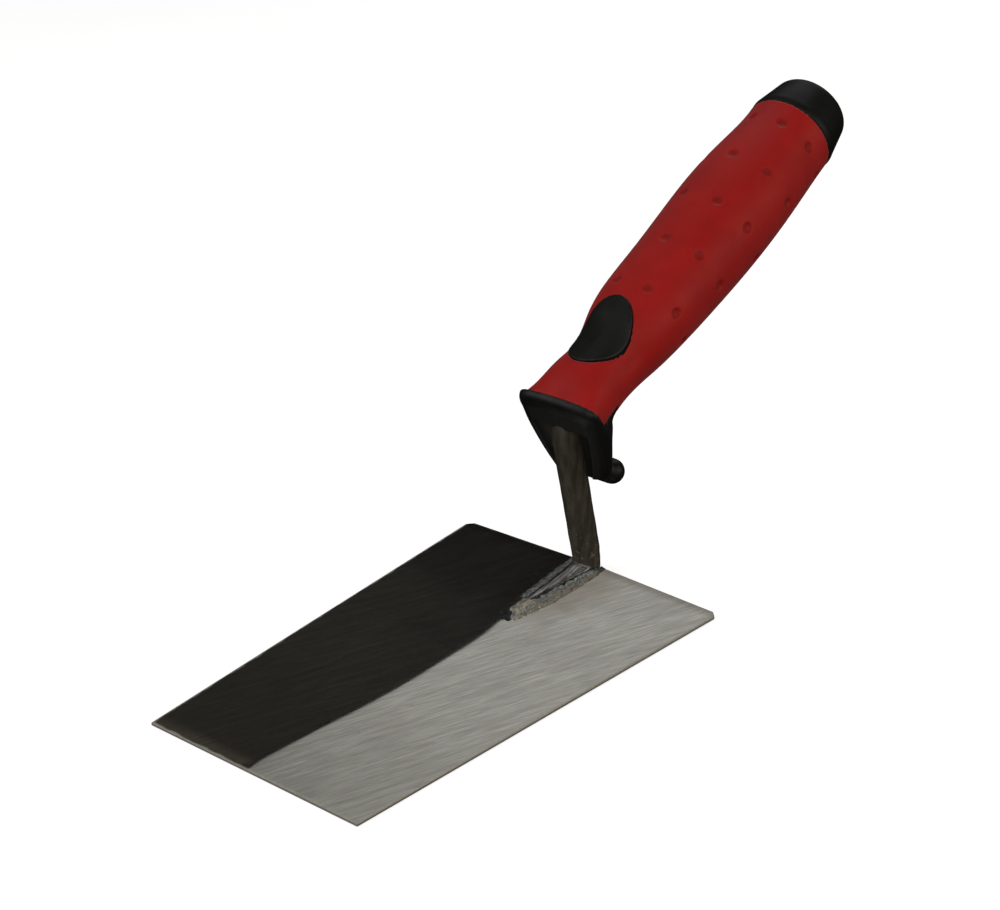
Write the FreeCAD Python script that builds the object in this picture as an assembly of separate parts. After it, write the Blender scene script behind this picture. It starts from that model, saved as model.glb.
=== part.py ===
import FreeCAD, Part
import math
import os

# Brick trowel: square-ended steel blade, round steel shank with a welded foot, and a
# two-colour moulded handle with a finger guard.
# Frame: millimetres, sole of the blade on z = 0, +X towards the toe, +Z up, and the
# XZ plane is the plane of symmetry.  The handle parts are drawn in their own frame,
# +X along the handle towards its end cap and +Z up out of its top, and then placed.

# blade
BLADE_LENGTH = 160.0
HEEL_SETBACK = 5.0
HEEL_WIDTH = 104.4
TOE_WIDTH = 82.3
EDGE_THICKNESS = 1.0
RIDGE_RISE = 1.3
HEEL_CORNER_CUT = 2.3

# shank: a round bar that leans forward, bends back and ends in a tang
BAR_RADIUS = 4.9
BASE_X = -4.7
LEAN_DEG = 14.0
BEND_RADIUS = 13.0
FOOT_TIP_X = 29.0
FOOT_ROOT_HALF_WIDTH = 4.7
FOOT_WAIST_X = 6.0
FOOT_WAIST_HALF_WIDTH = 3.0
FOOT_TIP_HALF_WIDTH = 1.0
FOOT_ROOT_TOP = 5.0
FOOT_TIP_TOP = 2.8
TANG_END = 92.0
TANG_END_RADIUS = 2.6
TANG_TAPER_START = 24.0

# weld beads: distance from the centre line at the heel, at mid length and at the tip
WELD_END_X = 44.5
WELD_MID_X = 14.0
RIGHT_BEAD = (7.4, 8.2, 7.4)
LEFT_BEAD = (7.6, 5.8, 4.2)
BEAD_RISE = 0.9
NOSE_RISE = 1.5

# handle frame
HANDLE_TILT_DEG = 26.0
HANDLE_X = 7.0
HANDLE_Z = 63.53

# handle sections: station, half width, height of the widest line, top, bottom,
# squareness above the widest line, squareness below it
FRONT = -4.5
GRIP_END = 137.0
SECTIONS = [
    (FRONT, 14.9, 2.0, 8.3, -19.0, 3.2, 2.0),
    (0.0, 13.4, 1.5, 10.0, -16.6, 2.6, 2.0),
    (5.0, 12.8, 0.5, 11.7, -14.0, 2.3, 2.0),
    (11.0, 12.5, 0.0, 12.4, -12.6, 2.0, 2.0),
    (30.0, 14.2, 0.0, 14.2, -14.2, 2.0, 2.0),
    (60.0, 16.9, 0.0, 16.9, -16.9, 2.0, 2.0),
    (88.0, 17.9, 0.0, 17.9, -17.9, 2.0, 2.0),
    (112.0, 17.4, 0.0, 17.4, -17.4, 2.0, 2.0),
    (GRIP_END, 16.1, 0.0, 16.1, -16.1, 2.0, 2.0),
]
SECTION_POINTS = 32
SLEEVE_WALL = 2.6
CORE_FRONT = 9.0

# finger guard
GUARD_FACE = -7.7
GUARD_TOP = 9.3
GUARD_CENTRE = 3.0
GUARD_LOW = -37.8
GUARD_HALF_WIDTH = 15.9
GUARD_SHOULDER = 3.2
GUARD_CHIN = 1.75
GUARD_STATIONS = [
    (GUARD_FACE, 4.4),
    (-7.0, 2.2),
    (-5.6, 0.6),
    (-3.6, 0.0),
    (0.0, 1.5),
    (4.0, 4.2),
    (9.5, 9.5),
]
CHIN_N = -24.5
CHIN_LINE = [(-3.0, -28.0), (0.3, -33.0)]
FINGER_HOLLOW = [(3.0, -25.6), (2.5, -20.0), (4.6, -15.4), (9.0, -12.0)]
KNOB_S = 3.8
KNOB_N = -33.4
KNOB_RADIUS = 4.3
KNOB_HALF_LENGTH = 4.0
SKIRT_LEVEL = -3.6
JOINT_LEAN = 0.2
RECESS_INSET = 4.9
RECESS_DEPTH = 2.4
RECESS_TOP = -2.5

# grip details
DIMPLE_DIAMETER = 4.3
DIMPLE_DEPTH = 0.7
DIMPLES_AROUND = 8
DIMPLE_FIRST_S = 43.0
DIMPLE_PITCH = 21.3
DIMPLE_RINGS = 5
PAD_CENTRE_S = 23.0
PAD_HALF_LENGTH = 13.7
PAD_HALF_WIDTH = 9.2
PAD_DEPTH = 1.6
PAD_PROUD = 0.6

# end cap: places along the handle, and radii
CAP_END = 154.0
CAP_SEAT_RADIUS = 15.9
CAP_RIM_RADIUS = 16.2
CAP_LIP_HALF_LENGTH = 1.7
CAP_TAPER_END = 150.5
CAP_TAPER_RADIUS = 13.9
CAP_EDGE_MIDDLE = (153.2, 12.2)
CAP_FLAT_RADIUS = 9.5
CAP_SPIGOT_RADIUS = 8.0
CAP_SPIGOT_LENGTH = 16.0


def vec(x, y, z):
    return FreeCAD.Vector(x, y, z)


def polygon(points):
    return Part.makePolygon([vec(*p) for p in points + points[:1]])


def on_handle(shape):
    """Carry a shape from the handle's own frame to the trowel's frame."""
    placed = shape.copy()
    placed.rotate(vec(0, 0, 0), vec(0, 0, 1), 180)
    placed.rotate(vec(0, 0, 0), vec(0, 1, 0), HANDLE_TILT_DEG)
    placed.translate(vec(HANDLE_X, 0, HANDLE_Z))
    return placed


# ---------------------------------------------------------------- blade and shank

def blade_top(x, y):
    """Height of the blade's upper face above the sole."""
    along = (x + HEEL_SETBACK) / BLADE_LENGTH
    half = (HEEL_WIDTH + (TOE_WIDTH - HEEL_WIDTH) * along) / 2
    return EDGE_THICKNESS + RIDGE_RISE * (1 - along) * (1 - abs(y) / half)


def roof_section(x):
    """Upright section of the block under the blade's upper faces, wider than the blade."""
    side = 0.6 * HEEL_WIDTH
    return polygon([
        (x, -side, -1),
        (x, side, -1),
        (x, side, blade_top(x, side)),
        (x, 0, blade_top(x, 0)),
        (x, -side, blade_top(x, -side)),
    ])


def blade_outline():
    """Sole of the blade: a tapered sheet with its two heel corners cut off."""
    heel = -HEEL_SETBACK
    toe = heel + BLADE_LENGTH
    wide = HEEL_WIDTH / 2
    narrow = TOE_WIDTH / 2
    cut = HEEL_CORNER_CUT
    cut_side = wide - (wide - narrow) * cut / BLADE_LENGTH
    return polygon([
        (heel, cut - wide, 0),
        (heel + cut, -cut_side, 0),
        (toe, -narrow, 0),
        (toe, narrow, 0),
        (heel + cut, cut_side, 0),
        (heel, wide - cut, 0),
    ])


def make_blade():
    heel = roof_section(-HEEL_SETBACK - 1)
    toe = roof_section(BLADE_LENGTH - HEEL_SETBACK + 1)
    roof = Part.makeLoft([heel, toe], True, True)
    return Part.Face(blade_outline()).extrude(vec(0, 0, 5)).common(roof)


def bar_points():
    """Centre line of the bar: base, corner where the two straights meet, tang end."""
    lean = math.radians(LEAN_DEG)
    tilt = math.radians(HANDLE_TILT_DEG)
    up = vec(math.sin(lean), 0, math.cos(lean))
    back = vec(-math.cos(tilt), 0, math.sin(tilt))
    base = vec(BASE_X, 0, 0)
    axis = vec(HANDLE_X, 0, HANDLE_Z)
    gap = axis - base
    cross = up.x * back.z - up.z * back.x
    rise = (gap.x * back.z - gap.z * back.x) / cross
    corner = base + up * rise
    turn = math.acos(up.dot(back))
    return base, up, corner, back, turn


def make_bar():
    """Straight neck, bend and straight start of the tang as one swept round bar."""
    base, up, corner, back, turn = bar_points()
    tangent = BEND_RADIUS * math.tan(turn / 2)
    start = base - up * 6.0
    bend_in = corner - up * tangent
    bend_out = corner + back * tangent
    middle_dir = (back - up)
    middle_dir.normalize()
    bulge = BEND_RADIUS / math.cos(turn / 2) - BEND_RADIUS
    middle = corner + middle_dir * bulge
    axis = vec(HANDLE_X, 0, HANDLE_Z)
    taper_start = axis + back * TANG_TAPER_START
    path = Part.Wire([
        Part.makeLine(start, bend_in),
        Part.Arc(bend_in, middle, bend_out).toShape(),
        Part.makeLine(bend_out, taper_start),
    ])
    ring = Part.Wire([Part.makeCircle(BAR_RADIUS, start, up)])
    return path.makePipeShell([ring], True, False)


def make_tang():
    """Tapered end of the bar that sits inside the handle core."""
    _, _, _, back, _ = bar_points()
    axis = vec(HANDLE_X, 0, HANDLE_Z)
    length = TANG_END - TANG_TAPER_START
    start = axis + back * TANG_TAPER_START
    return Part.makeCone(BAR_RADIUS, TANG_END_RADIUS, length, start, back)


def foot_section(x, half, top):
    floor = EDGE_THICKNESS / 2
    flat = 0.45 * half
    return polygon([
        (x, -half, floor),
        (x, half, floor),
        (x, half, 0.55 * top + 0.45 * blade_top(x, half)),
        (x, flat, top),
        (x, -flat, top),
        (x, -half, 0.55 * top + 0.45 * blade_top(x, half)),
    ])


def make_foot():
    """Forged tongue that lies on the blade ahead of the bar."""
    waist_top = FOOT_ROOT_TOP - 1.1
    root = foot_section(-HEEL_SETBACK, FOOT_ROOT_HALF_WIDTH, FOOT_ROOT_TOP)
    waist = foot_section(FOOT_WAIST_X, FOOT_WAIST_HALF_WIDTH, waist_top)
    tip = foot_section(FOOT_TIP_X, FOOT_TIP_HALF_WIDTH, FOOT_TIP_TOP)
    back_part = Part.makeLoft([root, waist], True, True)
    front_part = Part.makeLoft([waist, tip], True, True)
    return back_part.fuse(front_part)


def make_shank(blade):
    whole = make_bar().fuse([make_tang(), make_foot()])
    behind_heel = Part.makeBox(20, 40, 9, vec(-HEEL_SETBACK - 20, -20, 0))
    below_sole = Part.makeBox(80, 40, 20, vec(-30, -20, -20))
    return whole.cut(behind_heel).cut(below_sole).cut(blade).removeSplitter()


# ---------------------------------------------------------------- weld

def bead_section(x, outer):
    """Half-round bead section from under the foot out to `outer`."""
    low = EDGE_THICKNESS / 2
    toe = vec(x, outer, blade_top(x, outer) - 0.1)
    crest_y = 0.6 * outer
    crest = vec(x, crest_y, blade_top(x, crest_y) + BEAD_RISE)
    root = vec(x, 0, blade_top(x, 0) + 0.5)
    return Part.Wire([
        Part.makeLine(vec(x, 0, low), vec(x, outer, low)),
        Part.makeLine(vec(x, outer, low), toe),
        Part.Arc(toe, crest, root).toShape(),
        Part.makeLine(root, vec(x, 0, low)),
    ])


def make_side_bead(side, widths, shank, blade):
    """Weld bead along one side of the foot."""
    stations = (-HEEL_SETBACK, WELD_MID_X, FOOT_TIP_X)
    wires = [bead_section(x, outer) for x, outer in zip(stations, widths)]
    bead = Part.makeLoft(wires, True, False)
    if side < 0:
        bead = bead.mirror(vec(0, 0, 0), vec(0, 1, 0))
    return bead.cut(shank).cut(blade)


def make_nose_bead(blade):
    """Low rounded dome of filler ahead of the foot's tip."""
    right = RIGHT_BEAD[-1]
    left = LEFT_BEAD[-1]
    dome = Part.makeSphere(1.0, vec(0, 0, 0), vec(1, 0, 0))
    matrix = FreeCAD.Matrix()
    matrix.scale(WELD_END_X - FOOT_TIP_X, (right + left) / 2, NOSE_RISE + 0.5)
    dome = dome.transformGeometry(matrix)
    dome.translate(vec(FOOT_TIP_X, (right - left) / 2, blade_top(FOOT_TIP_X, 0) - 0.5))
    ahead = Part.makeBox(40, 40, 20, vec(FOOT_TIP_X, -20, 0.5))
    return dome.common(ahead).cut(blade)


# ---------------------------------------------------------------- handle

def section_wire(station, inset):
    """Closed smooth section whose upper and lower halves are separate superellipses."""
    s, half, centre, top, bottom, square_top, square_low = station
    points = []
    for i in range(SECTION_POINTS):
        angle = 2 * math.pi * i / SECTION_POINTS
        c = math.cos(angle)
        d = math.sin(angle)
        power = square_top if d > 0 else square_low
        reach = top - centre if d > 0 else centre - bottom
        y = (half - inset) * math.copysign(abs(c) ** (2 / power), c)
        z = centre + (reach - inset) * math.copysign(abs(d) ** (2 / power), d)
        points.append(vec(s, y, z))
    curve = Part.BSplineCurve()
    curve.interpolate(points, PeriodicFlag=True)
    return Part.Wire([curve.toShape()])


def handle_body(inset):
    wires = [section_wire(station, inset) for station in SECTIONS]
    return Part.makeLoft(wires, True, False)


def slab(low_s, high_s, low_n, high_n):
    size = 60.0
    return Part.makeBox(high_s - low_s, size, high_n - low_n, vec(low_s, -size / 2, low_n))


def guard_section(s, inset):
    """Shield outline seen from the front: square shoulders above, round chin below."""
    station = (s, GUARD_HALF_WIDTH, GUARD_CENTRE, GUARD_TOP, GUARD_LOW,
               GUARD_SHOULDER, GUARD_CHIN)
    return section_wire(station, inset)


def guard_envelope():
    """Outline carried backwards, with its front edge rounded over and its back tapered."""
    wires = [guard_section(s, inset) for s, inset in GUARD_STATIONS]
    return Part.makeLoft(wires, True, False)


def joint_s(n):
    """Place along the handle of the slanting joint between guard and sleeve, at height n."""
    return FRONT + JOINT_LEAN * (GUARD_TOP - n)


def guard_profile():
    """Side profile of the guard: upright face, chin and the hollow for the finger.

    The lower end stops inside the rolled knob.
    """
    face = GUARD_FACE - 1
    top = GUARD_TOP + 1
    chin_front = vec(face, 0, CHIN_N)
    in_knob = 0.75 * KNOB_RADIUS
    knob_low = vec(KNOB_S, 0, KNOB_N - in_knob)
    knob_top = vec(KNOB_S, 0, KNOB_N + in_knob)
    neck = vec(CORE_FRONT, 0, FINGER_HOLLOW[-1][1])
    neck_in = vec(CORE_FRONT, 0, SKIRT_LEVEL - 1)
    joint_low = vec(joint_s(SKIRT_LEVEL - 1), 0, SKIRT_LEVEL - 1)
    joint_top = vec(joint_s(top), 0, top)
    chin = Part.BSplineCurve()
    chin.interpolate([chin_front] + [vec(s, 0, n) for s, n in CHIN_LINE] + [knob_low])
    hollow = Part.BSplineCurve()
    hollow.interpolate([knob_top] + [vec(s, 0, n) for s, n in FINGER_HOLLOW])
    return Part.Wire([
        Part.makeLine(vec(face, 0, top), chin_front),
        chin.toShape(),
        Part.makeLine(knob_low, knob_top),
        hollow.toShape(),
        Part.makeLine(neck, neck_in),
        Part.makeLine(neck_in, joint_low),
        Part.makeLine(joint_low, joint_top),
        Part.makeLine(joint_top, vec(face, 0, top)),
    ])


def guard_knob():
    """Rolled lower edge of the guard with round ends, turned about a line across it."""
    half = KNOB_HALF_LENGTH
    flat = 0.15 * KNOB_RADIUS
    end = half + math.sqrt(KNOB_RADIUS ** 2 - flat ** 2)
    slant = KNOB_RADIUS * math.sqrt(0.5)
    left = Part.Arc(vec(flat, -end, 0), vec(slant, -half - slant, 0), vec(KNOB_RADIUS, -half, 0))
    right = Part.Arc(vec(KNOB_RADIUS, half, 0), vec(slant, half + slant, 0), vec(flat, end, 0))
    wire = Part.Wire([
        Part.makeLine(vec(0, -end, 0), vec(flat, -end, 0)),
        left.toShape(),
        Part.makeLine(vec(KNOB_RADIUS, -half, 0), vec(KNOB_RADIUS, half, 0)),
        right.toShape(),
        Part.makeLine(vec(flat, end, 0), vec(0, end, 0)),
        Part.makeLine(vec(0, end, 0), vec(0, -end, 0)),
    ])
    knob = Part.Face(wire).revolve(vec(0, 0, 0), vec(0, 1, 0), 360)
    knob.translate(vec(KNOB_S, 0, KNOB_N))
    return knob


def guard_recess():
    """Shallow recess in the guard's face around the bar."""
    shallow = slab(GUARD_FACE - 2, GUARD_FACE + RECESS_DEPTH, -60, RECESS_TOP)
    outline = Part.Face(guard_section(GUARD_FACE - 2, RECESS_INSET))
    return outline.extrude(vec(10, 0, 0)).common(shallow)


def guard_shield():
    profile = Part.Face(guard_profile())
    profile.translate(vec(0, -30, 0))
    web = profile.extrude(vec(0, 60, 0)).common(guard_envelope())
    return web.fuse(guard_knob()).cut(guard_recess())


def make_guard(outer, inner, bar):
    plug = inner.common(slab(FRONT - 1, CORE_FRONT, -30, 30))
    skirt = outer.common(slab(FRONT - 1, CORE_FRONT, -30, SKIRT_LEVEL))
    return guard_shield().fuse([plug, skirt]).cut(bar)


def pad_prism():
    """Upright oval prism over the thumb pad."""
    disc = Part.makeCylinder(1.0, 30.0)
    matrix = FreeCAD.Matrix()
    matrix.scale(PAD_HALF_LENGTH, PAD_HALF_WIDTH, 1.0)
    disc = disc.transformGeometry(matrix)
    disc.translate(vec(PAD_CENTRE_S, 0, 2.0))
    return disc


def grip_reach(outer, s, y, z):
    """Distance from the handle's axis to its skin, looking along (y, z)."""
    return outer.common(Part.makeLine(vec(s, 0, 0), vec(s, 40 * y, 40 * z))).Length


def dimples(outer):
    """Staggered rings of shallow round dimples."""
    half = DIMPLE_DIAMETER / 2
    ball = (half ** 2 + DIMPLE_DEPTH ** 2) / (2 * DIMPLE_DEPTH)
    step = 360.0 / DIMPLES_AROUND
    balls = []
    for ring in range(DIMPLE_RINGS):
        s = DIMPLE_FIRST_S + ring * DIMPLE_PITCH
        for place in range(DIMPLES_AROUND):
            angle = math.radians(step * (place + 0.5 * ((ring + 1) % 2)))
            y = math.sin(angle)
            z = math.cos(angle)
            reach = grip_reach(outer, s, y, z) + ball - DIMPLE_DEPTH
            balls.append(Part.makeSphere(ball, vec(s, reach * y, reach * z), vec(1, 0, 0)))
    return balls


def make_pad():
    skin = handle_body(-PAD_PROUD).cut(handle_body(PAD_DEPTH))
    return skin.common(pad_prism())


def ahead_of_joint():
    """Everything on the guard's side of the slanting joint."""
    top = GUARD_TOP + 1
    low = -30.0
    outline = polygon([
        (FRONT - 1, -30, top),
        (joint_s(top), -30, top),
        (joint_s(low), -30, low),
        (FRONT - 1, -30, low),
    ])
    return Part.Face(outline).extrude(vec(0, 60, 0))


def make_sleeve(outer, inner):
    shell = outer.cut(inner).cut(ahead_of_joint())
    skirt = slab(FRONT - 1, CORE_FRONT, -30, SKIRT_LEVEL)
    pocket = pad_prism().cut(handle_body(PAD_DEPTH))
    return shell.cut(skirt).cut(pocket).cut(dimples(outer))


def make_cap():
    """Turned end cap with a rounded end and a plain spigot into the core."""
    inner_end = GRIP_END - CAP_SPIGOT_LENGTH
    spigot_end = vec(inner_end, 0, CAP_SPIGOT_RADIUS)
    shoulder = vec(GRIP_END, 0, CAP_SPIGOT_RADIUS)
    seat = vec(GRIP_END, 0, CAP_SEAT_RADIUS)
    rim = vec(GRIP_END + CAP_LIP_HALF_LENGTH, 0, CAP_RIM_RADIUS)
    lip_end = vec(GRIP_END + 2 * CAP_LIP_HALF_LENGTH, 0, CAP_SEAT_RADIUS)
    taper_end = vec(CAP_TAPER_END, 0, CAP_TAPER_RADIUS)
    edge_middle = vec(CAP_EDGE_MIDDLE[0], 0, CAP_EDGE_MIDDLE[1])
    flat_edge = vec(CAP_END, 0, CAP_FLAT_RADIUS)
    wire = Part.Wire([
        Part.makeLine(vec(inner_end, 0, 0), spigot_end),
        Part.makeLine(spigot_end, shoulder),
        Part.makeLine(shoulder, seat),
        Part.Arc(seat, rim, lip_end).toShape(),
        Part.makeLine(lip_end, taper_end),
        Part.Arc(taper_end, edge_middle, flat_edge).toShape(),
        Part.makeLine(flat_edge, vec(CAP_END, 0, 0)),
        Part.makeLine(vec(CAP_END, 0, 0), vec(inner_end, 0, 0)),
    ])
    return Part.Face(wire).revolve(vec(0, 0, 0), vec(1, 0, 0), 360)


def make_core(inner, cap, bar):
    block = inner.common(slab(CORE_FRONT, GRIP_END, -30, 30))
    return block.cut(cap).cut(bar)


def main():
    os.makedirs("parts", exist_ok=True)
    blade = make_blade()
    shank = make_shank(blade)
    weld_right = make_side_bead(1, RIGHT_BEAD, shank, blade)
    weld_left = make_side_bead(-1, LEFT_BEAD, shank, blade)
    nose = make_nose_bead(blade)

    outer = handle_body(0.0)
    inner = handle_body(SLEEVE_WALL)
    cap = make_cap()
    bar = shank.copy()
    bar.translate(vec(-HANDLE_X, 0, -HANDLE_Z))
    bar.rotate(vec(0, 0, 0), vec(0, 1, 0), -HANDLE_TILT_DEG)
    bar.rotate(vec(0, 0, 0), vec(0, 0, 1), -180)
    nodes = {
        "blade": blade,
        "shank": shank,
        "weld_right": weld_right,
        "weld_left": weld_left,
        "weld_nose": nose,
        "collar_guard": on_handle(make_guard(outer, inner, bar)),
        "handle_core": on_handle(make_core(inner, cap, bar)),
        "grip_sleeve": on_handle(make_sleeve(outer, inner)),
        "thumb_pad": on_handle(make_pad()),
        "end_cap": on_handle(cap),
    }
    for name, shape in nodes.items():
        shape.exportStep("parts/" + name + ".step")
        box = shape.BoundBox
        print(name, "solids", len(shape.Solids), "valid", shape.isValid(),
              "volume", round(shape.Volume, 1),
              "x", round(box.XMin, 1), round(box.XMax, 1),
              "y", round(box.YMin, 1), round(box.YMax, 1),
              "z", round(box.ZMin, 1), round(box.ZMax, 1))


main()
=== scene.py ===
import math

import bpy
import numpy as np
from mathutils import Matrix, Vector, noise


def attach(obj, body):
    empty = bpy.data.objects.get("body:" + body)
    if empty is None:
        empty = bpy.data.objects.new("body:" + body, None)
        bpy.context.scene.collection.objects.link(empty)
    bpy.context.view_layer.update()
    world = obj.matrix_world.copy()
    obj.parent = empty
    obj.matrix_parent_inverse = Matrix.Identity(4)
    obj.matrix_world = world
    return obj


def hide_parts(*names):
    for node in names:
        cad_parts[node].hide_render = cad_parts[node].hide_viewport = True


# Brick trowel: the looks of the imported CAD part.  Metres, sole of the blade on z = 0,
# +X towards the toe, +Z up.  Each CAD solid is re-skinned at a finer pitch and given a
# procedural material.  Nothing is resized.

MM = 0.001

# camera
CAMERA_AT = (0.5200, 0.3888, 0.3491)
CAMERA_TARGET = (0.04248, 0.0, 0.05936)
CAMERA_LENS = 79.32
SENSOR_WIDTH = 36.0

# blade outline, the direction of its grinding marks and the slope of its two halves
HEEL_X = -5 * MM
TOE_X = 155 * MM
HEEL_HALF = 52.2 * MM
TOE_HALF = 41.15 * MM
GRIND_ANGLE = math.radians(-20.4)
FACET_SLOPE = math.tan(math.radians(6.5))
RIDGE_ROUNDING = 1.2 * MM
TOE_WEAR_LENGTH = 6 * MM
TOE_WEAR_CURVE = 13.5
BLADE_EDGE_ROUNDING = 0.22 * MM
BLADE_EDGE_SHARPEST = math.radians(35)

# brushed steel shows no picture of what stands over it
KEPT_OUT_OF_REFLECTIONS = ("shank", "collar_guard", "grip_sleeve", "thumb_pad", "end_cap",
                           "handle_core")

# mesh pitches and the gap under which two points are one
BAR_PITCH = 0.35 * MM
WELD_PITCH = 0.16 * MM
SAME_POINT = 0.01 * MM

# centre line of the bar above the foot
BAR_BASE = (-4.7 * MM, 0.0, 0.0)
BAR_LEAN = math.radians(14)
BAR_FOOT_TOP = 9 * MM

# outer edges of the two weld beads, at three places along the foot
BEAD_AT = (-5 * MM, 14 * MM, 29 * MM)
RIGHT_EDGE = (7.4 * MM, 8.2 * MM, 7.4 * MM)
LEFT_EDGE = (7.6 * MM, 5.8 * MM, 4.2 * MM)

# half width of the foot, out to the crack beside it, at places along the foot
CRACK_AT = (-5 * MM, -2 * MM, 5 * MM, 10 * MM, 18 * MM, 29 * MM)
CRACK = (4.8 * MM, 4.3 * MM, 3.1 * MM, 2.7 * MM, 2.0 * MM, 1.0 * MM)

# border between the dark and the bright filler ahead of the foot
PATCH_AT = (28 * MM, 33 * MM, 37 * MM, 40 * MM, 44 * MM)
PATCH_EDGE = (0.3 * MM, -1.2 * MM, -0.2 * MM, 2.5 * MM, 6 * MM)

# colours, linear red, green and blue
STEEL = (0.42, 0.408, 0.365)
STEEL_LIGHT = (0.52, 0.508, 0.46)
STEEL_MARK = (0.1, 0.1, 0.09)
STEEL_STROKE = (0.76, 0.75, 0.70)
STEEL_CLOUD = (0.30, 0.28, 0.25)
# painted shade that darkens the steel towards the toe
STEEL_SHADED_TOE = (0.15, 0.145, 0.12)
SCORCH = (0.22, 0.175, 0.125)
EDGE_BARE = (0.50, 0.47, 0.41)
EDGE_RUST = (0.16, 0.10, 0.07)
HEEL_GRIME = (0.12, 0.10, 0.085)
SPECK = (0.07, 0.055, 0.045)
BAR_DARK = (0.045, 0.039, 0.028)
BAR_LIGHT = (0.115, 0.098, 0.072)
BAR_PATCH = (0.050, 0.034, 0.020)
BAR_SCUFF = (0.30, 0.27, 0.23)
GROUND_DARK = (0.13, 0.125, 0.12)
GROUND_LIGHT = (0.46, 0.45, 0.44)
GROUND_RUST = (0.12, 0.085, 0.06)
CORE_DARK = (0.02, 0.02, 0.02)
CORE_LIGHT = (0.035, 0.034, 0.033)
BLACK_WORN = (0.05, 0.05, 0.048)

# weld filler: the dark and the light of each kind of surface
BEAD_GREY = ((0.10, 0.12, 0.125), (0.72, 0.75, 0.74))
BEAD_RUST = ((0.20, 0.18, 0.15), (0.52, 0.48, 0.41))
BEAD_PALE = ((0.34, 0.32, 0.27), (0.66, 0.62, 0.52))
BEAD_BRASS = ((0.40, 0.35, 0.26), (0.80, 0.75, 0.61))
# dark filler, also painted shade in the cracks, beside the bar and over the left bead
BEAD_DARK_AND_SHADE = ((0.006, 0.008, 0.007), (0.05, 0.055, 0.05))

# stage
FLOOR_REACH = 6.0
FLOOR_LEVEL = -0.3 * MM
FLOOR_GLOW = 0.75
SURROUND = 0.012
LAMP_WHITE = (1, 1, 1)
LAMP_WARM = (1.0, 0.92, 0.75)
LAMP_SUNNY = (1.0, 0.93, 0.80)


# ------------------------------------------------------------------ mesh helpers

def copy_of(node, name):
    """A free copy of a CAD node's mesh."""
    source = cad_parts[node]
    mesh = source.data.copy()
    mesh.transform(source.matrix_world)
    mesh.materials.clear()
    obj = bpy.data.objects.new(name, mesh)
    bpy.context.scene.collection.objects.link(obj)
    return obj


def bake(obj):
    """Apply every modifier to the object's own mesh."""
    graph = bpy.context.evaluated_depsgraph_get()
    old = obj.data
    obj.data = bpy.data.meshes.new_from_object(obj.evaluated_get(graph))
    obj.modifiers.clear()
    bpy.data.meshes.remove(old)


def shade(mesh, smooth):
    mesh.polygons.foreach_set("use_smooth", np.full(len(mesh.polygons), smooth))
    mesh.update()


def reskinned(node, name, voxel, passes):
    """A fine even skin over a CAD node, eased a little so that its edges are soft."""
    obj = copy_of(node, name)
    remesh = obj.modifiers.new("remesh", "REMESH")
    remesh.mode = "VOXEL"
    remesh.voxel_size = voxel
    ease = obj.modifiers.new("ease", "SMOOTH")
    ease.factor = 0.5
    ease.iterations = passes
    bake(obj)
    shade(obj.data, True)
    return obj


def points_of(obj):
    count = len(obj.data.vertices)
    points = np.empty(count * 3)
    obj.data.vertices.foreach_get("co", points)
    return points.reshape(count, 3)


def normals_of(obj):
    count = len(obj.data.vertices)
    normals = np.empty(count * 3)
    obj.data.vertices.foreach_get("normal", normals)
    return normals.reshape(count, 3)


def move_points(obj, points):
    obj.data.vertices.foreach_set("co", points.ravel())
    obj.data.update()


def noise_at(points, size, seed):
    """Smooth noise about -0.5 to 0.5 with features of the given size in metres."""
    offset = Vector((seed * 3.7, seed * 1.3, seed * 2.1))
    return np.array([noise.noise(Vector(p) / size + offset) for p in points])


def ramp(values, low, high):
    """0 at `low` and 1 at `high`, with soft ends."""
    share = np.clip((values - low) / (high - low), 0, 1)
    return share * share * (3 - 2 * share)


def paint(obj, name, values):
    """Store one number per point for the material to read."""
    attribute = obj.data.attributes.new(name, "FLOAT", "POINT")
    attribute.data.foreach_set("value", np.asarray(values, np.float32))


def roughen(obj, size, height, seed):
    """Push the skin in and out by smooth noise, mostly inwards."""
    points = points_of(obj)
    bumps = noise_at(points, size, seed) * height - 0.4 * height
    move_points(obj, points + normals_of(obj) * bumps[:, None])


# -------------------------------------------------------------- material helpers

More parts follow.
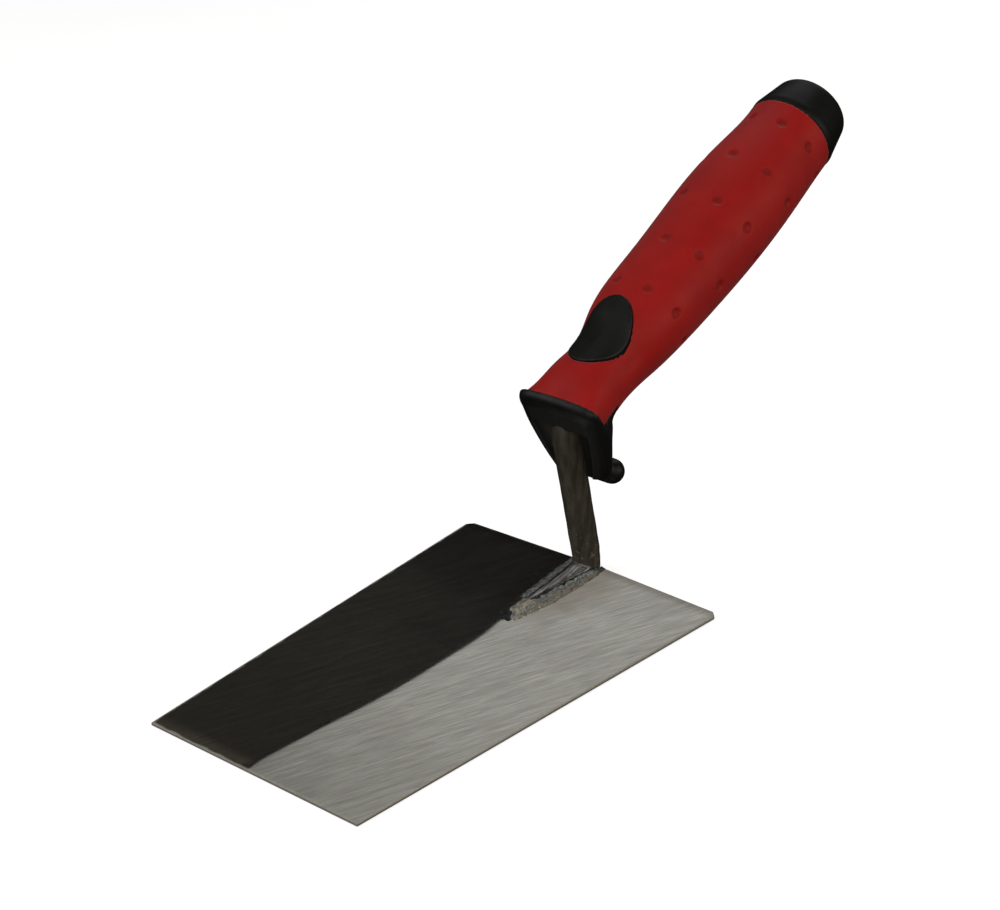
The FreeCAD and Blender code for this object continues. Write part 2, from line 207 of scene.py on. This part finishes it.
class Surface:
    """A small writer for one Principled material."""

    def __init__(self, name, **settings):
        self.material = bpy.data.materials.new(name)
        self.material.use_nodes = True
        self.tree = self.material.node_tree
        self.tree.nodes.clear()
        self.output = self.tree.nodes.new("ShaderNodeOutputMaterial")
        self.shader = self.tree.nodes.new("ShaderNodeBsdfPrincipled")
        self.tree.links.new(self.shader.outputs[0], self.output.inputs["Surface"])
        for key, value in settings.items():
            self.shader.inputs[key.replace("_", " ")].default_value = value
        self.place = self.node("ShaderNodeTexCoord").outputs["Object"]

    def node(self, kind, **inputs):
        made = self.tree.nodes.new(kind)
        for key, value in inputs.items():
            self.feed(made.inputs[key], value)
        return made

    def feed(self, socket, value):
        if isinstance(value, bpy.types.NodeSocket):
            self.tree.links.new(value, socket)
        else:
            socket.default_value = value

    def math(self, operation, *values):
        made = self.tree.nodes.new("ShaderNodeMath")
        made.operation = operation
        for socket, value in zip(made.inputs, values):
            self.feed(socket, value)
        return made.outputs[0]

    def noise(self, size, detail=2.0, roughness=0.5, stretch=None, turn=0.0):
        """Noise with features of `size` metres, or of `stretch` metres along each axis."""
        spread = self.tree.nodes.new("ShaderNodeMapping")
        spread.vector_type = "TEXTURE"
        spread.inputs["Scale"].default_value = stretch or (size, size, size)
        spread.inputs["Rotation"].default_value = (0, 0, turn)
        self.feed(spread.inputs["Vector"], self.place)
        made = self.node("ShaderNodeTexNoise", Vector=spread.outputs[0], Scale=1.0,
                         Detail=detail, Roughness=roughness)
        return made.outputs["Fac"]

    def step(self, value, low, high, start=0.0, end=1.0):
        """`start` while value is at `low`, `end` at `high`, with soft ends."""
        made = self.tree.nodes.new("ShaderNodeMapRange")
        made.interpolation_type = "SMOOTHSTEP"
        for key, number in (("Value", value), ("From Min", low), ("From Max", high),
                            ("To Min", start), ("To Max", end)):
            self.feed(made.inputs[key], number)
        return made.outputs[0]

    def mix(self, share, first, second):
        """Blend of two colours, each a socket or red, green and blue."""
        made = self.tree.nodes.new("ShaderNodeMix")
        made.data_type = "RGBA"
        self.feed(made.inputs[0], share)
        for number, colour in ((6, first), (7, second)):
            given = isinstance(colour, bpy.types.NodeSocket)
            self.feed(made.inputs[number], colour if given else (*colour, 1))
        return made.outputs[2]

    def painted(self, name):
        made = self.tree.nodes.new("ShaderNodeAttribute")
        made.attribute_name = name
        return made.outputs["Fac"]

    def bump(self, height, distance, normal=None):
        made = self.node("ShaderNodeBump", Height=height, Distance=distance, Strength=1.0)
        if normal is not None:
            self.tree.links.new(normal, made.inputs["Normal"])
        return made.outputs[0]

    def axes(self):
        return self.node("ShaderNodeSeparateXYZ", Vector=self.place).outputs


def blade_steel():
    """Brushed steel: grinding marks, scorch by the weld, worn edges, two sloping halves."""
    s = Surface("blade_steel", Metallic=1.0)
    x, y, z = s.axes()
    side = s.math("ABSOLUTE", y)
    long_marks = s.noise(0, 2, stretch=(26 * MM, 2.0 * MM, 1), turn=GRIND_ANGLE)
    fine_marks = s.noise(0, 4, 0.62, stretch=(11 * MM, 0.40 * MM, 1), turn=GRIND_ANGLE)
    strokes = s.noise(0, 2, stretch=(10 * MM, 0.36 * MM, 1), turn=GRIND_ANGLE + 0.05)
    cloud = s.noise(22 * MM, 3)
    colour = s.mix(s.step(long_marks, 0.3, 0.7), STEEL, STEEL_LIGHT)
    colour = s.mix(s.step(fine_marks, 0.34, 0.62), s.mix(0.36, colour, STEEL_MARK), colour)
    colour = s.mix(s.step(strokes, 0.58, 0.74, 0, 0.45), colour, STEEL_STROKE)
    colour = s.mix(s.step(cloud, 0.35, 0.75, 0, 0.22), colour, STEEL_CLOUD)
    # painted shade: the steel's colour darkens towards the toe, where its reflection dims
    colour = s.mix(s.step(x, 70 * MM, TOE_X, 0, 0.30), colour, STEEL_SHADED_TOE)
    # scorch from the weld
    along = s.math("DIVIDE", s.math("SUBTRACT", x, 8 * MM), 34 * MM)
    across = s.math("DIVIDE", s.math("SUBTRACT", y, 3 * MM), 17 * MM)
    reach = s.math("SQRT", s.math("ADD", s.math("MULTIPLY", along, along),
                                  s.math("MULTIPLY", across, across)))
    reach = s.math("ADD", reach, s.math("MULTIPLY", s.noise(9 * MM, 3), 0.5))
    colour = s.mix(s.step(reach, 1.35, 0.75, 0, 0.5), colour, SCORCH)
    # worn dark edges
    taper = (HEEL_HALF - TOE_HALF) / (TOE_X - HEEL_X)
    half = s.math("SUBTRACT", HEEL_HALF + taper * HEEL_X, s.math("MULTIPLY", x, taper))
    from_side = s.math("SUBTRACT", half, side)
    from_heel = s.math("SUBTRACT", x, HEEL_X)
    from_toe = s.math("SUBTRACT", TOE_X, x)
    ragged = s.math("MULTIPLY", s.noise(5 * MM, 3), 1.6 * MM)
    near = s.math("MINIMUM", from_side, s.math("MINIMUM", from_heel, from_toe))
    worn = s.step(s.math("SUBTRACT", near, ragged), 0.35 * MM, -0.7 * MM, 0, 0.85)
    rusty = s.math("MULTIPLY", s.step(z, 0.60 * MM, 0.30 * MM, 0, 0.9),
                   s.step(s.math("SUBTRACT", from_toe, from_side), 0, 1 * MM))
    colour = s.mix(worn, colour, s.mix(rusty, EDGE_BARE, EDGE_RUST))
    s.feed(s.shader.inputs["Metallic"], s.step(worn, 0, 0.85, 1, 0.15))
    colour = s.mix(s.step(s.math("SUBTRACT", from_heel, ragged), 4.5 * MM, 0, 0, 0.45),
                   colour, HEEL_GRIME)
    specks = s.noise(0.9 * MM, 1)
    colour = s.mix(s.step(specks, 0.80, 0.84, 0, 0.8), colour, SPECK)
    s.feed(s.shader.inputs["Base Color"], colour)
    polish = s.noise(0, 3, stretch=(30 * MM, 1.2 * MM, 1), turn=GRIND_ANGLE)
    s.feed(s.shader.inputs["Roughness"], s.step(polish, 0.2, 0.8, 0.17, 0.23))
    # each half falls away from the centre line, and the toe is thinned by use
    sway = s.math("SUBTRACT", s.step(x, 30 * MM, 62 * MM, 0, 3.0 * MM),
                  s.step(x, 88 * MM, TOE_X, 0, 5.0 * MM))
    off_ridge = s.math("SUBTRACT", y, sway)
    soft_side = s.math("SQRT", s.math("ADD", s.math("MULTIPLY", off_ridge, off_ridge),
                                      RIDGE_ROUNDING ** 2))
    wander = s.math("MULTIPLY", s.math("SUBTRACT", s.noise(16 * MM, 1), 0.5), 0.12 * MM)
    facet = s.math("ADD", s.math("MULTIPLY", soft_side, -FACET_SLOPE), wander)
    thinned = s.math("MAXIMUM", s.math("SUBTRACT", x, TOE_X - TOE_WEAR_LENGTH), 0)
    thinned = s.math("MULTIPLY", s.math("MULTIPLY", thinned, thinned),
                     s.step(off_ridge, 1 * MM, -3 * MM, 0, TOE_WEAR_CURVE))
    facet = s.math("SUBTRACT", facet, thinned)
    form = s.bump(facet, 1.0)
    marks = s.math("ADD", s.math("MULTIPLY", fine_marks, 1.0), s.math("MULTIPLY", strokes, 0.5))
    s.feed(s.shader.inputs["Normal"], s.bump(marks, 0.012 * MM, form))
    return s.material


def bar_steel():
    """Dark forged steel, ground bright round the foot."""
    s = Surface("bar_steel")
    ground = s.painted("ground")
    streak = s.noise(0, 3, 0.5, stretch=(2.0 * MM, 2.0 * MM, 22 * MM))
    patch = s.noise(4 * MM, 4, 0.6)
    colour = s.mix(s.step(streak, 0.3, 0.72), BAR_DARK, BAR_LIGHT)
    colour = s.mix(s.step(patch, 0.45, 0.75, 0, 0.6), colour, BAR_PATCH)
    pale = s.math("MULTIPLY", s.step(s.noise(1.1 * MM, 2), 0.66, 0.74),
                  s.step(s.axes()[2], 26 * MM, 4 * MM, 0.15, 0.9))
    colour = s.mix(pale, colour, BAR_SCUFF)
    rubbed = s.noise(0, 3, 0.6, stretch=(14 * MM, 0.5 * MM, 0.8 * MM), turn=math.radians(8))
    bright = s.mix(s.step(rubbed, 0.3, 0.7), GROUND_DARK, GROUND_LIGHT)
    bright = s.mix(s.step(s.noise(3.2 * MM, 3), 0.5, 0.7, 0, 0.6), bright, GROUND_RUST)
    colour = s.mix(ground, colour, bright)
    s.feed(s.shader.inputs["Base Color"], colour)
    s.feed(s.shader.inputs["Metallic"], s.step(ground, 0, 1, 0.25, 1.0))
    polish = s.math("ADD", patch, ground)
    s.feed(s.shader.inputs["Roughness"], s.step(polish, 0.3, 1.6, 0.55, 0.36))
    rough = s.bump(s.noise(0.8 * MM, 4, 0.6), 0.05 * MM)
    s.feed(s.shader.inputs["Normal"], s.bump(streak, 0.10 * MM, rough))
    return s.material


def weld_metal():
    """Filler: grey bead, rust beside it, brass where it was patched, dark filler on the nose; the
    dark colour is also painted shade in the cracks, beside the bar and over the left bead, and the
    pale colour a painted highlight along one edge of the nose.
    """
    s = Surface("weld_metal")
    grain = s.noise(0.8 * MM, 4, 0.65)
    colour = s.mix(s.step(grain, 0.3, 0.7), *BEAD_GREY)
    rust = s.mix(s.step(grain, 0.3, 0.7), *BEAD_RUST)
    pale = s.mix(s.step(grain, 0.3, 0.7), *BEAD_PALE)
    brass = s.mix(s.step(grain, 0.3, 0.7), *BEAD_BRASS)
    # dark filler, also used as painted shade
    dark = s.mix(s.step(grain, 0.35, 0.75), *BEAD_DARK_AND_SHADE)
    colour = s.mix(s.painted("rust"), colour, rust)
    colour = s.mix(s.painted("pale"), colour, pale)
    colour = s.mix(s.painted("brass"), colour, brass)
    colour = s.mix(s.painted("dark"), colour, dark)
    s.feed(s.shader.inputs["Base Color"], colour)
    s.feed(s.shader.inputs["Metallic"], s.step(s.painted("dark"), 0, 1, 0.9, 0.3))
    s.feed(s.shader.inputs["Roughness"], s.step(s.noise(1.5 * MM, 3), 0.3, 0.7, 0.34, 0.6))
    s.feed(s.shader.inputs["Normal"], s.bump(grain, 0.22 * MM))
    return s.material


def soft_plastic(name, deep, main, worn, roughness, grain, gloss, sheen=0.0):
    """Moulded rubber or plastic with a fine grain, cloudy colour, painted shade in its dimples and
    rubbed high spots that are also a painted highlight.
    """
    s = Surface(name, Specular_IOR_Level=gloss, Sheen_Weight=sheen)
    cloud = s.noise(14 * MM, 4, 0.55)
    fine = s.noise(0.35 * MM, 3, 0.6)
    colour = s.mix(s.step(cloud, 0.3, 0.7), deep, main)
    # painted shade in the dimples
    colour = s.mix(s.math("MULTIPLY", s.painted("hollow"), 0.40), colour,
                   tuple(0.35 * part for part in deep))
    # rubbed high spots in a lighter colour, also a painted highlight on edges and dimple rims
    rub_and_highlight = s.math("MULTIPLY", s.painted("edge"), s.step(s.noise(1.6 * MM, 4, 0.6), 0.35, 0.65))
    colour = s.mix(rub_and_highlight, colour, worn)
    flecks = s.noise(0.8 * MM, 2)
    colour = s.mix(s.step(flecks, 0.78, 0.82, 0, 0.5), colour, worn)
    s.feed(s.shader.inputs["Base Color"], colour)
    smear = s.noise(0, 3, stretch=(9 * MM, 5 * MM, 9 * MM))
    s.feed(s.shader.inputs["Roughness"],
           s.step(smear, 0.25, 0.75, roughness - 0.05, roughness + 0.07))
    s.feed(s.shader.inputs["Normal"], s.bump(fine, grain))
    return s.material


def core_plastic():
    """The hidden core: plain dark plastic."""
    s = Surface("core_plastic", Roughness=0.5)
    cloud = s.noise(8 * MM, 3)
    s.feed(s.shader.inputs["Base Color"], s.mix(s.step(cloud, 0.3, 0.7), CORE_DARK, CORE_LIGHT))
    s.feed(s.shader.inputs["Normal"], s.bump(s.noise(0.5 * MM, 3), 0.03 * MM))
    return s.material


# ------------------------------------------------------------------------ pieces

def finish_piece(obj, node, material):
    """Hand a finished mesh over in place of its CAD node."""
    obj.data.materials.append(material)
    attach(obj, "root")
    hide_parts(node)
    obj.visible_glossy = node not in KEPT_OUT_OF_REFLECTIONS


def edge_ends(obj):
    """The two point numbers of every edge."""
    count = len(obj.data.edges)
    ends = np.empty(count * 2, dtype=np.int32)
    obj.data.edges.foreach_get("vertices", ends)
    return ends.reshape(count, 2).T


def edge_wear(obj):
    """How much each point stands out from its neighbours, for worn edges that are also a painted
    highlight.
    """
    points = points_of(obj)
    normals = normals_of(obj)
    a, b = edge_ends(obj)
    total = np.zeros(len(points))
    joined = np.zeros(len(points))
    gap = points[b] - points[a]
    length = np.linalg.norm(gap, axis=1) + 1e-12
    np.add.at(total, a, -(gap * normals[a]).sum(1) / length)
    np.add.at(total, b, (gap * normals[b]).sum(1) / length)
    np.add.at(joined, a, 1)
    np.add.at(joined, b, 1)
    stand = total / np.maximum(joined, 1)
    for _ in range(4):
        around = np.zeros(len(points))
        np.add.at(around, a, stand[b])
        np.add.at(around, b, stand[a])
        stand = 0.5 * stand + 0.5 * around / np.maximum(joined, 1)
    paint(obj, "edge", ramp(stand, 0.04, 0.16))


def make_blade(material):
    obj = copy_of("blade", "blade_steel")
    weld = obj.modifiers.new("weld", "WELD")
    weld.merge_threshold = SAME_POINT
    bevel = obj.modifiers.new("bevel", "BEVEL")
    bevel.width = BLADE_EDGE_ROUNDING
    bevel.segments = 3
    bevel.limit_method = "ANGLE"
    bevel.angle_limit = BLADE_EDGE_SHARPEST
    bake(obj)
    shade(obj.data, False)
    finish_piece(obj, "blade", material)


def make_bar(material):
    obj = reskinned("shank", "bar_steel", BAR_PITCH, 3)
    roughen(obj, 6.0 * MM, 0.16 * MM, 1)
    points = points_of(obj)
    axis = np.array([math.sin(BAR_LEAN), 0, math.cos(BAR_LEAN)])
    gap = points - np.array(BAR_BASE)
    off_axis = np.linalg.norm(gap - np.outer(gap @ axis, axis), axis=1)
    low = points[:, 2] < BAR_FOOT_TOP
    wander = 0.5 * MM * noise_at(points, 2.0 * MM, 5)
    ground = ramp(off_axis + wander, 4.9 * MM, 5.5 * MM) * low
    paint(obj, "ground", ground)
    finish_piece(obj, "shank", material)


def bead_edges(points):
    """Distance of each point from the crack beside the foot and in from the outer edge."""
    x = points[:, 0]
    y = np.abs(points[:, 1])
    crack = np.interp(x, CRACK_AT, CRACK)
    right = np.interp(x, BEAD_AT, RIGHT_EDGE)
    left = np.interp(x, BEAD_AT, LEFT_EDGE)
    wander = 0.9 * MM * noise_at(points, 2.2 * MM, 3)
    return y - crack + wander, np.where(points[:, 1] > 0, right, left) - y + wander


def make_right_bead(material):
    obj = reskinned("weld_right", "weld_right_bead", WELD_PITCH, 2)
    points = points_of(obj)
    out, inside = bead_edges(points)
    ripple = np.sin(points[:, 0] / (0.55 * MM) + 4 * noise_at(points, 3 * MM, 9))
    bead = ramp(out, 0.3 * MM, 0.8 * MM) * ramp(out, 2.6 * MM, 1.8 * MM)
    lift = 0.06 * MM * ripple * bead + 0.30 * MM * noise_at(points, 1.3 * MM, 4) - 0.18 * MM
    lift -= 0.45 * MM * ramp(out, 0.8 * MM, 0.2 * MM)
    move_points(obj, points + normals_of(obj) * lift[:, None])
    # painted shade: the crack beside the foot is painted dark, and a painted shadow darkens the
    # bead beside the bar
    shadow_by_bar = ramp(points[:, 0], 0.5 * MM, -2.5 * MM)
    paint(obj, "dark", np.maximum(ramp(out, 0.75 * MM, 0.35 * MM), 0.85 * shadow_by_bar))
    paint(obj, "rust", ramp(out, 1.7 * MM, 2.5 * MM))
    paint(obj, "pale", ramp(inside, 1.7 * MM, 0.7 * MM) * ramp(points[:, 0], 2 * MM, 12 * MM))
    paint(obj, "brass", np.zeros(len(points)))
    finish_piece(obj, "weld_right", material)


def make_left_bead(material):
    obj = reskinned("weld_left", "weld_left_bead", WELD_PITCH, 2)
    points = points_of(obj)
    out, inside = bead_edges(points)
    lift = 0.30 * MM * noise_at(points, 1.3 * MM, 14) - 0.18 * MM
    move_points(obj, points + normals_of(obj) * lift[:, None])
    # painted shade over the whole left bead, darker towards its outer edge
    paint(obj, "dark", 0.35 + 0.60 * ramp(inside, 1.4 * MM, 0.3 * MM))
    paint(obj, "rust", 0.4 * ramp(inside, 1.6 * MM, 0.6 * MM))
    paint(obj, "pale", np.zeros(len(points)))
    paint(obj, "brass", np.zeros(len(points)))
    finish_piece(obj, "weld_left", material)


def make_nose(material):
    obj = reskinned("weld_nose", "weld_nose_bead", WELD_PITCH, 2)
    points = points_of(obj)
    lift = 0.40 * MM * noise_at(points, 1.8 * MM, 24) - 0.18 * MM
    points = points + normals_of(obj) * lift[:, None]
    points[:, 2] -= 0.30 * MM * ramp(points[:, 2], 3.0 * MM, 2.2 * MM)
    move_points(obj, points)
    x = points[:, 0] + 1.2 * MM * noise_at(points, 2.5 * MM, 21)
    y = points[:, 1] + 1.2 * MM * noise_at(points, 2.5 * MM, 22)
    edge = np.interp(x, PATCH_AT, PATCH_EDGE)
    patched = ramp(y - edge, -0.3 * MM, 0.5 * MM)
    paint(obj, "dark", 1 - patched)
    paint(obj, "brass", patched * ramp(y, 4.2 * MM, 2.8 * MM) * ramp(x, 40 * MM, 37 * MM))
    paint(obj, "rust", patched * ramp(x, 34 * MM, 30 * MM) * 0.6)
    # painted highlight: pale filler colour along the nose's edge on the +Y side stands for a lit
    # ridge
    paint(obj, "pale", patched * ramp(y, 3.4 * MM, 5.0 * MM))
    finish_piece(obj, "weld_nose", material)


def fill_corners(obj, passes):
    """Round the hollow corners: points only ever move outwards.  Returns how far."""
    a, b = edge_ends(obj)
    before = points_of(obj)
    joined = np.bincount(np.concatenate([a, b]), minlength=len(obj.data.vertices))
    for _ in range(passes):
        points = points_of(obj)
        around = np.zeros_like(points)
        np.add.at(around, a, points[b])
        np.add.at(around, b, points[a])
        normals = normals_of(obj)
        lift = ((around / joined[:, None] - points) * normals).sum(axis=1)
        move_points(obj, points + 0.7 * normals * np.clip(lift, 0, None)[:, None])
    return np.linalg.norm(points_of(obj) - before, axis=1)


def sink_hollows(obj, depth):
    """Deepen the dimples a little and mark them for the material, which paints shade there."""
    points = points_of(obj)
    filled = fill_corners(obj, 40)
    hollow = ramp(filled, 0.0, 0.14 * MM)
    move_points(obj, points)
    move_points(obj, points - normals_of(obj) * (depth * hollow)[:, None])
    paint(obj, "hollow", hollow)


def make_moulded(node, name, voxel, passes, material, fill=0, sink=0.0):
    obj = reskinned(node, name, voxel, passes)
    fill_corners(obj, fill)
    if sink:
        sink_hollows(obj, sink)
    edge_wear(obj)
    finish_piece(obj, node, material)


# ------------------------------------------------------------------------- stage

def make_floor():
    mesh = bpy.data.meshes.new("floor")
    corners = [(-FLOOR_REACH, -FLOOR_REACH, FLOOR_LEVEL), (FLOOR_REACH, -FLOOR_REACH, FLOOR_LEVEL),
               (FLOOR_REACH, FLOOR_REACH, FLOOR_LEVEL), (-FLOOR_REACH, FLOOR_REACH, FLOOR_LEVEL)]
    mesh.from_pydata(corners, [], [(0, 1, 2, 3)])
    floor = bpy.data.objects.new("floor", mesh)
    bpy.context.scene.collection.objects.link(floor)
    s = Surface("floor_white", Roughness=0.9)
    tone = s.step(s.noise(0.3, 2), 0.3, 0.7, 0.86, 0.9)
    s.feed(s.shader.inputs["Base Color"], s.mix(tone, (0, 0, 0), (1, 1, 1)))
    s.shader.inputs["Emission Color"].default_value = (1, 1, 1, 1)
    s.shader.inputs["Emission Strength"].default_value = FLOOR_GLOW
    mesh.materials.append(s.material)
    floor.visible_diffuse = False
    floor.visible_glossy = False


def make_world():
    """White behind the object; a dimmer surround lights it."""
    world = bpy.data.worlds.new("studio")
    bpy.context.scene.world = world
    world.use_nodes = True
    tree = world.node_tree
    tree.nodes.clear()
    seen = tree.nodes.new("ShaderNodeBackground")
    seen.inputs["Strength"].default_value = 1.0
    unseen = tree.nodes.new("ShaderNodeBackground")
    unseen.inputs["Strength"].default_value = SURROUND
    mix = tree.nodes.new("ShaderNodeMixShader")
    path = tree.nodes.new("ShaderNodeLightPath")
    out = tree.nodes.new("ShaderNodeOutputWorld")
    for node in (seen, unseen):
        node.inputs["Color"].default_value = (1, 1, 1, 1)
    tree.links.new(path.outputs["Is Camera Ray"], mix.inputs[0])
    tree.links.new(unseen.outputs[0], mix.inputs[1])
    tree.links.new(seen.outputs[0], mix.inputs[2])
    tree.links.new(mix.outputs[0], out.inputs["Surface"])


def softbox(name, at, target, width, height, radiance, colour=LAMP_WHITE):
    """A rectangular area light, evenly bright and not seen by the camera."""
    light = bpy.data.lights.new(name, "AREA")
    light.color = colour
    light.shape = "RECTANGLE"
    light.size = width
    light.size_y = height
    light.energy = radiance * math.pi * width * height
    obj = bpy.data.objects.new(name, light)
    bpy.context.scene.collection.objects.link(obj)
    obj.location = at
    obj.rotation_euler = (Vector(target) - Vector(at)).to_track_quat("-Z", "Y").to_euler()
    obj.visible_camera = False


def make_camera():
    data = bpy.data.cameras.new("camera")
    data.lens = CAMERA_LENS
    data.sensor_width = SENSOR_WIDTH
    data.clip_start = 0.01
    data.clip_end = 50
    camera = bpy.data.objects.new("camera", data)
    bpy.context.scene.collection.objects.link(camera)
    camera.location = CAMERA_AT
    look = Vector(CAMERA_TARGET) - Vector(CAMERA_AT)
    camera.rotation_euler = look.to_track_quat("-Z", "Y").to_euler()
    bpy.context.scene.camera = camera


# -------------------------------------------------------------------------- main

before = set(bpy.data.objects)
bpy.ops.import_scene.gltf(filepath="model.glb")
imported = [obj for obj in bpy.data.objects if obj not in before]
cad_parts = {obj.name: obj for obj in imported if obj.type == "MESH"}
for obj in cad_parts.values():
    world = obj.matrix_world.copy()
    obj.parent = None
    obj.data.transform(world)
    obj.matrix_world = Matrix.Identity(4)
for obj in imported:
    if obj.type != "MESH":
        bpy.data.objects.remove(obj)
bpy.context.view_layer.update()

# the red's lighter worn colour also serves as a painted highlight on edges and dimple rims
red = soft_plastic("grip_rubber", (0.50, 0.010, 0.008), (0.58, 0.013, 0.010),
                   (0.62, 0.06, 0.05), roughness=0.50, grain=0.02 * MM, gloss=0.21, sheen=0.12)
black = soft_plastic("guard_rubber", (0.006, 0.0062, 0.0055), (0.011, 0.0112, 0.010),
                     BLACK_WORN, roughness=0.42, grain=0.02 * MM, gloss=0.32)
cap_black = soft_plastic("cap_plastic", (0.007, 0.0072, 0.0065), (0.012, 0.0122, 0.011),
                         BLACK_WORN, roughness=0.46, grain=0.015 * MM, gloss=0.2)
weld = weld_metal()

make_blade(blade_steel())
make_bar(bar_steel())
make_right_bead(weld)
make_left_bead(weld)
make_nose(weld)
make_moulded("collar_guard", "guard", 0.40 * MM, 8, black, fill=110)
make_moulded("grip_sleeve", "sleeve", 0.45 * MM, 5, red, sink=0.16 * MM)
make_moulded("thumb_pad", "pad", 0.30 * MM, 4, black)
make_moulded("end_cap", "cap", 0.40 * MM, 4, cap_black)
make_moulded("handle_core", "core", 0.80 * MM, 1, core_plastic())

make_floor()
make_world()
softbox("key", (-1.25, -0.28, 1.00), (-1.25, 0.29, 0.18), 1.6, 1.0, 0.68)
softbox("low", (-0.75, -1.40, 0.62), (-0.75, 0.0, 0.0), 1.0, 0.5, 0.03, LAMP_WARM)
softbox("strip", (-0.55, -1.40, 1.00), (-0.55, 0.0, 0.0), 0.7, 0.25, 0.13, LAMP_WARM)
softbox("top", (0.25, -0.05, 1.30), (0.0, 0.0, 0.08), 1.0, 1.0, 0.3)
softbox("front", (0.95, 0.75, 0.75), (0.0, 0.0, 0.05), 1.4, 1.0, 1.15)
softbox("side", (-0.35, 1.2, 0.45), (0.0, 0.0, 0.08), 1.2, 0.9, 1.3, LAMP_SUNNY)
softbox("left", (0.95, -0.85, 0.80), (0.0, 0.0, 0.08), 1.2, 1.2, 1.25)
make_camera()
bpy.context.scene.view_settings.view_transform = "Standard"
